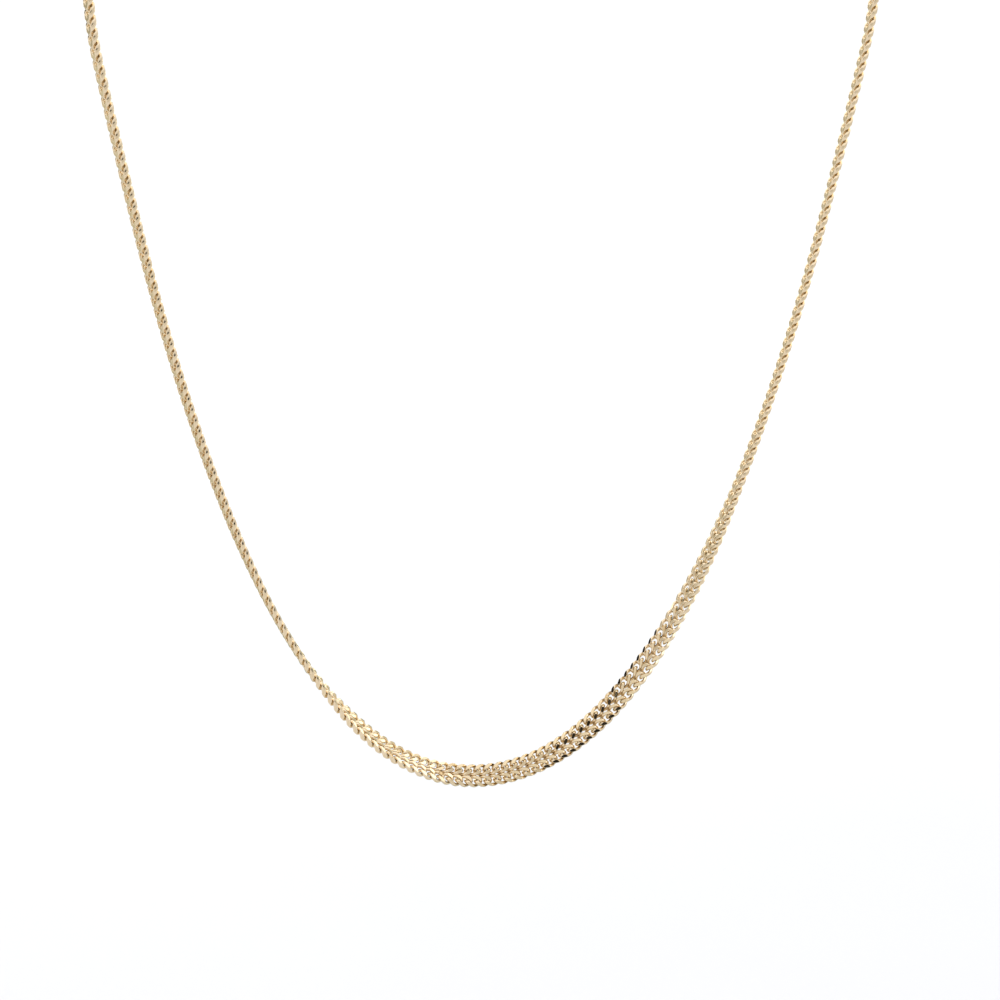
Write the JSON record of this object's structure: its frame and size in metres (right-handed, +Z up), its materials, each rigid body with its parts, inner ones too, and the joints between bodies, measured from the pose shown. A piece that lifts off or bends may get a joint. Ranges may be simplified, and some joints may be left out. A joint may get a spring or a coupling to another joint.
{
  "type": "herringbone chain necklace",
  "caption": "Flat gold neck chain: two mirrored rows of curb links soldered side by side in a herringbone, hung as a whole loop, closed at the nape by a plain bar clasp.",
  "frame": {"origin": "middle of the clasp's inner face, where the necklace sits on the nape or hangs", "axes": "+Z up, -Y the front that shows at the lowest point, +X the wearer's left, on the right as seen from the front; the middle line of the loop lies in the XZ plane"},
  "size_m": [0.1131, 0.0048, 0.1755],
  "materials": {
    "gold_chain": "bright polished 14 carat yellow gold",
    "gold_clasp": "polished 14 carat yellow gold"
  },
  "bodies": {
    "root": {"chain": "gold_chain", "clasp": "gold_clasp"}
  },
  "joints": []
}
